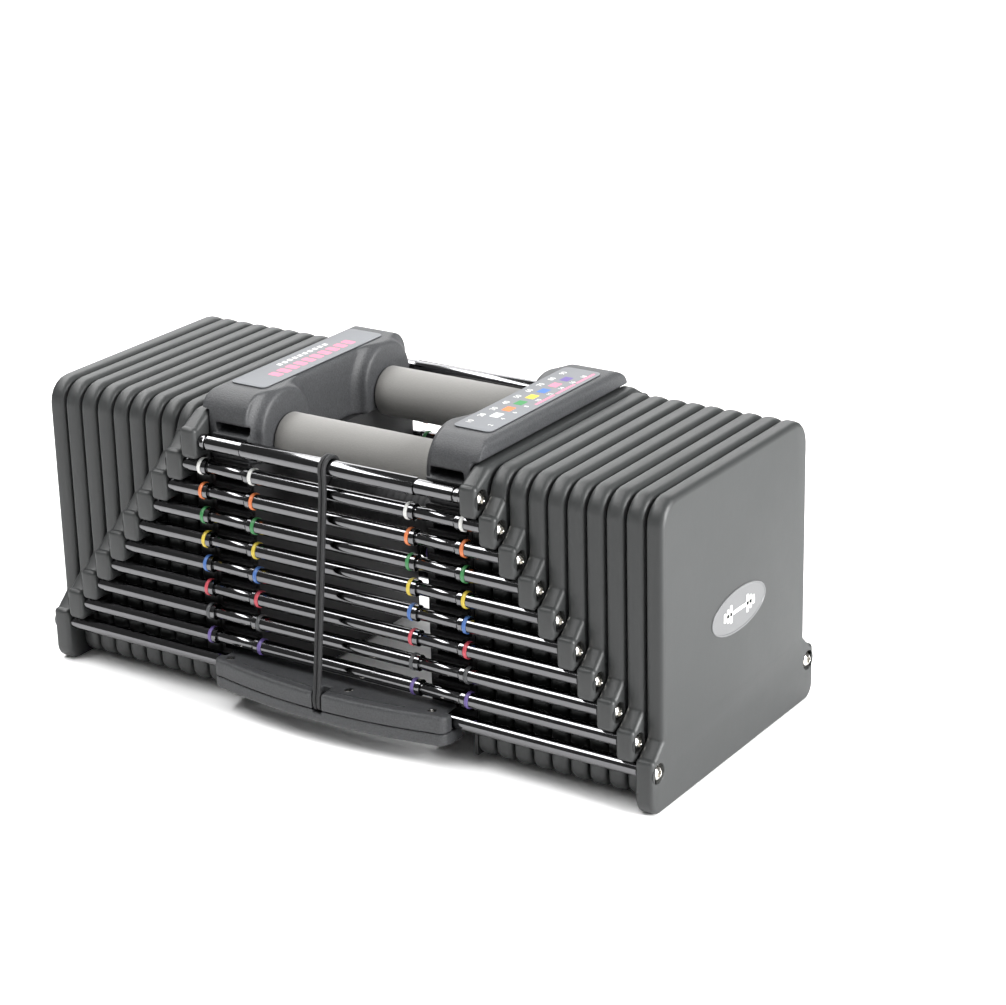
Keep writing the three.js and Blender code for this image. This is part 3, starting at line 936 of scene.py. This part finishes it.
def make_cap(side):
    place = cap_place(SIDES[side])
    section = rounded([
        (CAP_WALL_X, CAP_BOTTOM_Z, 1), (CAP_SIDE_X, CAP_BOTTOM_Z, 1), (CAP_SIDE_X, CAP_BRIM_Z, 1.5),
        (CAP_BRIM_X, CAP_BRIM_Z, 1.2), (CAP_BRIM_X, CAP_TOP_Z, 4.5), (CAP_WALL_X, CAP_TOP_Z, 3),
    ])
    cap = as_object("cap", prism(section, -90, 90, lambda p, y: place(p.x, y, p.y)))
    combine(cap, "UNION", boss(place, -1))
    combine(cap, "UNION", boss(place, 1))
    envelope = rounded([
        (-CAP_HALF_DEPTH, CAP_BOTTOM_Z, 1.5), (CAP_HALF_DEPTH, CAP_BOTTOM_Z, 1.5),
        (CAP_HALF_DEPTH, CAP_TOP_Z, CAP_CORNER), (-CAP_HALF_DEPTH, CAP_TOP_Z, CAP_CORNER),
    ], step=9)
    combine(cap, "INTERSECT", prism(envelope, 40, 110, lambda p, x: place(x, p.x, p.y)))
    depth = HOLLOW_HALF_DEPTH
    combine(cap, "DIFFERENCE", box_between(place, HOLLOW_X, (-depth, depth), (-20, HOLLOW_TOP_Z)))
    for y in SLOT_WALLS_Y:
        combine(cap, "DIFFERENCE", box_between(place, SLOT_X, y, SLOT_Z))
    for y_sign in (-1, 1):
        spot = place(0, y_sign * TUBE_Y, TUBE_Z)
        start, end = TUBE_SOCKET_X
        profile = [(start, 0), (start, TUBE_SOCKET_RADIUS), (end, TUBE_SOCKET_RADIUS), (end, 0)]
        bore = bmesh.new()
        turned(bore, [(x * MM, r * MM) for x, r in profile], Vector((0, spot.y, spot.z)),
               (SIDES[side], 0, 0), 40)
        bmesh.ops.remove_doubles(bore, verts=bore.verts, dist=1e-6)
        bmesh.ops.recalc_face_normals(bore, faces=bore.faces)
        combine(cap, "DIFFERENCE", bore)
    moulded(cap, CAP_VOXEL, 5)
    cap = finish_object(cap, f"cap_{side}_shell", "cap_plastic", "handle_core")
    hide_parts(f"cap_{side}")


def dress_node(name, finish, edge_width, sharp_angle):
    """A CAD node that keeps its shape, with a finish and softened edges."""
    node = bpy.data.objects[name]
    node.data.materials.clear()
    node.data.materials.append(FINISHES[finish])
    weld = node.modifiers.new("weld", "WELD")
    weld.merge_threshold = WELD_REACH
    soften = node.modifiers.new("soften", "BEVEL")
    soften.width = edge_width
    soften.segments = 2
    soften.limit_method = "ANGLE"
    soften.angle_limit = math.radians(sharp_angle)


def make_side_frame(side):
    """The slotted frame keeps its CAD shape; a lip is added under each slot."""
    dress_node(f"side_frame_{side}", "frame_plastic", FRAME_EDGE_WIDTH, 40)
    place = cap_place(SIDES[side])
    bm = bmesh.new()
    for row in range(LAST_ROW):
        z = -(ROW_0_Z - ROW_AXES[row, "front"].z) / MM + SLOT_Z[0]
        low, high = z + SLOT_LIP_Z[0], z + SLOT_LIP_Z[1]
        for y_sign in (-1, 1):
            y = y_sign * (CAP_HALF_DEPTH + 0.1)
            reach = y + y_sign * SLOT_LIP_REACH
            outline = rounded([(y, low, 0), (y, high, 0), (reach, high, 0.5), (reach, low, 0.5)])
            part = prism(outline, *SLOT_LIP_X, lambda p, x: place(x, p.x, p.y))
            mesh = bpy.data.meshes.new("lip")
            part.to_mesh(mesh)
            part.free()
            bm.from_mesh(mesh)
            bpy.data.meshes.remove(mesh)
    finished(f"slot_lips_{side}", bm, "cap_plastic", "handle_core")


LABEL_X = (66, 91.4)
LABEL_HALF_LENGTH = 60
CHART_PITCH = 12.3
LABEL_BLOCKS = ("white", "orange", "green", "yellow", "blue", "pink", "purple")


def flat_mark(bm, outline, place, height=0.06):
    """A thin closed patch of ink lying on the label or a badge."""
    ring = first_ring(bm, [place(point, 0) for point in outline])
    fill(bm, ring)
    ring = next_ring(bm, ring, [place(point, height) for point in outline])
    fill(bm, ring)


def rectangle(centre, size, radius=0.3):
    (a, b), (w, h) = centre, size
    corners = [(a - w / 2, b - h / 2), (a + w / 2, b - h / 2),
               (a + w / 2, b + h / 2), (a - w / 2, b + h / 2)]
    return rounded([(*corner, radius) for corner in corners], step=30)


def make_numbers(name, words, body):
    """Numbers of a weight chart, as one mesh: (text, place, size) for each."""
    bm = bmesh.new()
    for text, (x, y), size in words:
        curve = bpy.data.curves.new("number", "FONT")
        curve.body = text
        curve.size = size * MM
        curve.align_x = "CENTER"
        curve.align_y = "CENTER"
        curve.extrude = 0.04 * MM
        curve.resolution_u = 3
        letter = link(bpy.data.objects.new("number", curve))
        graph = bpy.context.evaluated_depsgraph_get()
        mesh = bpy.data.meshes.new_from_object(letter.evaluated_get(graph))
        turn = Matrix.Rotation(math.pi / 2, 4, "Z")
        spot = Vector((x * MM, y * MM + BLOCK_Y, LABEL_HIGH.z + 0.04 * MM))
        mesh.transform(Matrix.Translation(spot) @ turn)
        bm.from_mesh(mesh)
        bpy.data.objects.remove(letter)
        bpy.data.meshes.remove(mesh)
    return finished(name, bm, "ink_white", body, 30)


def make_label(side):
    sign = SIDES[side]

    def place(point, height):
        return Vector((sign * point.x * MM, point.y * MM + BLOCK_Y, height * MM))

    corners = [(LABEL_X[0], -LABEL_HALF_LENGTH, 4), (LABEL_X[1], -LABEL_HALF_LENGTH, 4),
               (LABEL_X[1], LABEL_HALF_LENGTH, 4), (LABEL_X[0], LABEL_HALF_LENGTH, 4)]
    outline = rounded(corners, step=12)
    bm = bmesh.new()
    rims = [0.15] * len(outline)
    slab(bm, outline, LABEL_LOW.z / MM, LABEL_HIGH.z / MM, rims, rims, place, steps=2)
    label = finished(f"label_{side}_film", bm, "label", "handle_core", 30)
    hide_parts(f"label_{side}")

    def ink(point, height):
        return place(point, LABEL_HIGH.z / MM + height)

    def marks(name, color, outlines):
        patch = bmesh.new()
        for shape in outlines:
            flat_mark(patch, shape, ink)
        finished(f"label_{side}_{name}", patch, f"ink_{color}", "handle_core", 30)

    if side == "right":
        for index, color in enumerate(LABEL_BLOCKS):
            y = -34 + index * CHART_PITCH
            marks(f"block_{color}", color, [rectangle((79, y), (5.6, 7.4))])
        stripes = [rectangle((88.2, y), (1.7, 20)) for y in (2, 24, 46)]
        marks("stripe", "pink", stripes)
        words = []
        for index in range(9):
            y = -50 + index * CHART_PITCH
            words += [(str(10 * (index + 1)), (71.5, y), 5.2), (str(2 * (index + 1)), (85.5, y), 4.2)]
        make_numbers("label_right_numbers", words, "handle_core")
    else:
        bars = [rectangle((85, y), (3.2, 3.0)) for y in range(-20, 30, 5)]
        marks("white_bars", "white", bars)
        slants = [rectangle((75.5, y), (8.4, 5.6), 1) for y in range(-36, 41, 8)]
        marks("pink_bars", "pink", slants)


BADGE_HALF_WIDTH = 31
BADGE_HALF_HEIGHT = 13
BADGE_Y = 1.5


def ellipse(half_width, half_height, count=56):
    return [Vector((half_width * math.cos(2 * math.pi * i / count) + BADGE_Y,
                    half_height * math.sin(2 * math.pi * i / count))) for i in range(count)]


def make_badge(side):
    """Oval badge with a raised rim and a plain picture of a dumbbell."""
    sign = SIDES[side]
    low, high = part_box(f"plate_{LAST_ROW}_{side}")
    face = high.x if sign > 0 else -low.x
    middle = (low.z + high.z) / 2

    def place(point, height):
        return Vector((sign * (face + height * MM), point.x * MM + BLOCK_Y, point.y * MM + middle))

    bm = bmesh.new()
    stations = [(0, -0.1), (0, 0.3), (0.25, 0.55), (1.1, 0.55), (1.35, 0.3), (1.5, 0.3)]
    ring = None
    for inset, height in stations:
        points = ellipse(BADGE_HALF_WIDTH - inset, BADGE_HALF_HEIGHT - inset)
        spots = [place(point, height) for point in points]
        if ring is None:
            ring = first_ring(bm, spots)
            fill(bm, ring)
        else:
            ring = next_ring(bm, ring, spots)
    fill(bm, ring)
    finished(f"badge_{side}", bm, "badge_face", body_of_row(LAST_ROW), 25)
    picture = [rectangle((BADGE_Y, 0), (30, 2.2), 0.8)]
    for mirror in (-1, 1):
        for offset, height in ((9.5, 11), (13, 8.4), (16.5, 5.6)):
            picture.append(rectangle((BADGE_Y + mirror * offset, 0), (2.6, height), 0.9))
    bm = bmesh.new()
    for shape in picture:
        flat_mark(bm, shape, lambda point, height: place(point, 0.3 + height), 0.12)
    finished(f"badge_{side}_picture", bm, "ink_white", body_of_row(LAST_ROW), 30)


# ---------------------------------------------------------------------------
# Tubes, sleeves and grip
# ---------------------------------------------------------------------------
SLEEVE_HALF_LENGTH = 56.7
SLEEVE_RADIUS = 15.5
SLEEVE_BORE = 12.2
GRIP_HALF_LENGTH = 60
GRIP_BORE = 6.8


def make_sleeve(side):
    axis = middle_of(f"sleeve_{side}")
    half = SLEEVE_HALF_LENGTH
    outer = [(-half, SLEEVE_BORE), (-half, SLEEVE_RADIUS - 1.6)]
    for part in range(1, 6):
        angle = math.pi / 2 * part / 5
        outer.append((-half + 1.6 * (1 - math.cos(angle)), SLEEVE_RADIUS - 1.6 + 1.6 * math.sin(angle)))
    for part in range(-8, 9):
        x = part * half / 9.2
        outer.append((x, SLEEVE_RADIUS - 0.12 * abs(math.sin(part * 1.7))))
    mirrored = [(-x, r) for x, r in reversed(outer[:7])]
    profile = outer + mirrored + [outer[0]]
    bm = bmesh.new()
    turned(bm, [(x * MM, r * MM) for x, r in profile], Vector((0, axis.y, axis.z)), steps=64)
    sleeve = finished(f"sleeve_{side}_pad", bm, "tube_pad", "handle_core", 40)
    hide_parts(f"sleeve_{side}")


def make_grip():
    """A barrel-shaped rubber grip with fine grooves round it."""
    axis = middle_of("grip")
    half = GRIP_HALF_LENGTH
    profile = [(-half, GRIP_BORE), (-half, 13.6), (-half + 0.9, 14.4)]
    grooves = 25
    pitch = (2 * half - 8) / grooves
    for index in range(grooves):
        x = -half + 4 + index * pitch
        for share, drop in ((0.0, 0.3), (0.12, 0.3), (0.25, 0.05), (0.6, 0.0), (0.9, 0.05)):
            spot = x + share * pitch
            swell = 14.5 + 1.95 * math.cos(math.pi / 2 * spot / half) ** 0.6
            profile.append((spot, swell - drop))
    profile += [(half - 0.9, 14.4), (half, 13.6), (half, GRIP_BORE), (-half, GRIP_BORE)]
    bm = bmesh.new()
    turned(bm, [(x * MM, r * MM) for x, r in profile], Vector((0, axis.y, axis.z)), steps=48)
    grip = finished("grip_rubber", bm, "grip_pad", "handle_core", 60)
    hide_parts("grip")


# ---------------------------------------------------------------------------
# Selector
# ---------------------------------------------------------------------------
HANDLE_VOXEL = 0.6 * MM
HANDLE_END_X = 83
HANDLE_FRONT_Y = 110.4
HANDLE_SIDE_Y = 102.2
HANDLE_BACK_Y = 92.7
LIP_Y = 81.5
LIP_HALF_WIDTH = 79
LIP_THICKNESS = 2.1
NOTCH_HALF_WIDTH = 3.4
NOTCH_FRONT_Y = 120
NOTCH_POCKET_Y = 106.5
NOTCH_BACK_Y = 99
SCREWS = ((-74, -95.4), (13.7, -96.8), (70.9, -95.2))
GROOVE_DEPTH = 0.9
GROOVE_LINES = (((-62, -98.6), (-35, -102), (-7, -104)), ((5, -104), (30, -102.6), (55, -99.4)))


def handle_outline():
    """Bowed front between two rounded ends, in millimetres."""
    front = []
    for part in range(-16, 17):
        share = part / 16
        y = -HANDLE_FRONT_Y + (HANDLE_FRONT_Y - HANDLE_SIDE_Y) * abs(share) ** 2.1
        front.append((share * (HANDLE_END_X - 8), y, 0))
    end = HANDLE_END_X
    corners = [(-end, -HANDLE_BACK_Y, 1.2), (-end, -HANDLE_SIDE_Y + 0.6, 5)] + front
    corners += [(end, -HANDLE_SIDE_Y + 0.6, 5), (end, -HANDLE_BACK_Y, 1.2)]
    return rounded(corners, step=15)


def handle_place(point, height):
    return Vector((point.x * MM, point.y * MM + BLOCK_Y, height * MM))


def make_shell(name, low, high, rim_low, rim_high, extra, cutters):
    outline = handle_outline()
    bm = bmesh.new()
    slab(bm, outline, low / MM, high / MM, [rim_low] * len(outline), [rim_high] * len(outline),
         handle_place, steps=5)
    bmesh.ops.remove_doubles(bm, verts=bm.verts, dist=1e-7)
    bmesh.ops.recalc_face_normals(bm, faces=bm.faces)
    shell = as_object(name, bm)
    for part in extra:
        combine(shell, "UNION", part)
    for part in cutters:
        combine(shell, "DIFFERENCE", part)
    moulded(shell, HANDLE_VOXEL, 2)
    return shell


def fork_pocket():
    """Room for the fork's yoke and the start of its prongs."""
    low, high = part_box("selector_fork")
    grow = 0.3 * MM
    outer = high.x + grow
    front = low.y - grow
    return block((-outer, front, low.z - grow), (outer, high.y + grow, SHELL_HIGH.z + 2 * MM))


def notch(low, front_y):
    width = NOTCH_HALF_WIDTH * MM
    front = BLOCK_Y - front_y * MM
    return block((-width, front, low), (width, BLOCK_Y - NOTCH_BACK_Y * MM, SHELL_TOP_HIGH.z + 5 * MM))


def make_selector():
    lip = block((-LIP_HALF_WIDTH * MM, BLOCK_Y - (HANDLE_BACK_Y + 3) * MM,
                 SHELL_TOP_HIGH.z - LIP_THICKNESS * MM),
                (LIP_HALF_WIDTH * MM, BLOCK_Y - LIP_Y * MM, SHELL_TOP_HIGH.z))
    top = make_shell("shell_top", SHELL_TOP_LOW.z, SHELL_TOP_HIGH.z, 0.6, 2.2, [lip],
                     [notch(SHELL_TOP_LOW.z - 5 * MM, NOTCH_FRONT_Y)])
    for points in GROOVE_LINES:
        line = smooth_line([handle_place(Vector(p), SHELL_TOP_HIGH.z / MM) for p in points], 3 * MM)
        tool = bmesh.new()
        groove_tube(tool, line, GROOVE_DEPTH * MM)
        combine(top, "DIFFERENCE", tool)
    for x, y in SCREWS:
        tool = bmesh.new()
        spot = handle_place(Vector((x, y)), SHELL_TOP_HIGH.z / MM)
        turned(tool, [(-1.4 * MM, 0), (-1.4 * MM, 2.9 * MM), (2 * MM, 2.9 * MM), (2 * MM, 0)], spot,
               (0, 0, 1), 32)
        bmesh.ops.remove_doubles(tool, verts=tool.verts, dist=1e-6)
        bmesh.ops.recalc_face_normals(tool, faces=tool.faces)
        combine(top, "DIFFERENCE", tool)
    shell = finish_object(top, "handle_shell_top", "cap_plastic", "selector_pin", 42)
    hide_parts("selector_shell_top")

    base_top = SHELL_LOW.z + (20.5 - 13.1) * MM
    base = block((-HANDLE_END_X * MM, BLOCK_Y - (HANDLE_BACK_Y + 3) * MM, SHELL_LOW.z),
                 (HANDLE_END_X * MM, BLOCK_Y - LIP_Y * MM, base_top))
    bmesh.ops.bevel(base, geom=base.edges[:], offset=1.2 * MM, offset_type="OFFSET", segments=2,
                    affect="EDGES", profile=0.5, material=-1)
    bottom = make_shell("shell_bottom", SHELL_LOW.z, SHELL_HIGH.z, 3.2, 0.6, [base],
                        [fork_pocket(), notch(SHELL_HIGH.z - 1.7 * MM, NOTCH_FRONT_Y),
                         notch(SHELL_HIGH.z - 4.9 * MM, NOTCH_POCKET_Y)])
    shell = finish_object(bottom, "handle_shell_bottom", "cap_plastic", "selector_pin",
                          42)
    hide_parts("selector_shell_bottom")
    make_screws()


def groove_tube(bm, line, radius, sides=8):
    ring = None
    for index, spot in enumerate(line):
        ahead = (line[min(index + 1, len(line) - 1)] - line[max(index - 1, 0)]).normalized()
        up = Vector((0, 0, 1))
        side = ahead.cross(up)
        places = [spot + (side * math.cos(2 * math.pi * i / sides)
                          + up * math.sin(2 * math.pi * i / sides)) * radius for i in range(sides)]
        if ring is None:
            ring = first_ring(bm, places)
            fill(bm, ring)
        else:
            ring = next_ring(bm, ring, places)
    fill(bm, ring)
    bmesh.ops.recalc_face_normals(bm, faces=bm.faces)


def make_screws():
    """Cross-slotted screw heads sunk into the handle's top."""
    bm = bmesh.new()
    for x, y in SCREWS:
        spot = handle_place(Vector((x, y)), SHELL_TOP_HIGH.z / MM)

        def place(reach_x, reach_y, height):
            return spot + Vector((reach_x, reach_y, height)) * MM

        ring = first_ring(bm, bolt_ring(2.6, -1.38, False, place))
        fill(bm, ring)
        for radius, height in ((2.6, -0.75), (2.3, -0.45), (1.7, -0.3)):
            ring = next_ring(bm, ring, bolt_ring(radius, height, False, place))
        cross = []
        for index in range(24):
            angle = 2 * math.pi * index / 24
            share = (angle + math.pi / 4) % (math.pi / 2) - math.pi / 4
            reach = 1.4 if abs(share) < 0.2 else 0.5
            cross.append((reach * math.cos(angle), reach * math.sin(angle)))
        ring = next_ring(bm, ring, [place(a, b, -0.3) for a, b in cross])
        ring = next_ring(bm, ring, [place(a, b, -1.0) for a, b in cross])
        fill(bm, ring)
    finished("handle_screws", bm, "nickel", "selector_pin", 35)


def make_cord_stop():
    """A crimped rubber stop on the cord's lower end."""
    centre = middle_of("cord_stop")
    low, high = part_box("cord_stop")
    half = (high.y - low.y) / 2 / MM
    radius = (high.z - low.z) / 2 / MM
    profile = [(-half, 0), (-half, radius - 0.6), (-half + 0.6, radius), (-0.9, radius),
               (-0.6, radius - 0.5), (0.6, radius - 0.5), (0.9, radius), (half - 0.6, radius),
               (half, radius - 0.6), (half, 0)]
    bm = bmesh.new()
    turned(bm, [(x * MM, r * MM) for x, r in profile], centre, (0, 1, 0), 32)
    stop = finished("cord_stop_rubber", bm, "grip_pad", "cord_stop", 40)
    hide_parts("cord_stop")


# ---------------------------------------------------------------------------
# CAD nodes that keep their shape
# ---------------------------------------------------------------------------
def dress_steel_nodes():
    names = ["selector_fork", "grip_rod"]
    names += [f"{part}_{side}" for part in ("tube", "adder_weight") for side in ("front", "rear")]
    for name in names:
        dress_node(name, "steel", STEEL_EDGE_WIDTH, 50)


make_camera()
FINISHES = make_finishes()
make_stage()
make_tether()
for row in ROWS:
    for side in SIDES:
        make_plate(row, side)
    for side in ("front", "rear"):
        make_rail(row, side)
        make_bolts(row, side)
        if 0 < row < LAST_ROW:
            make_rings(row, side)
for side in SIDES:
    make_cap(side)
    make_side_frame(side)
    make_label(side)
    make_badge(side)
for side in ("front", "rear"):
    make_sleeve(side)
make_grip()
make_selector()
make_cord_stop()
dress_steel_nodes()
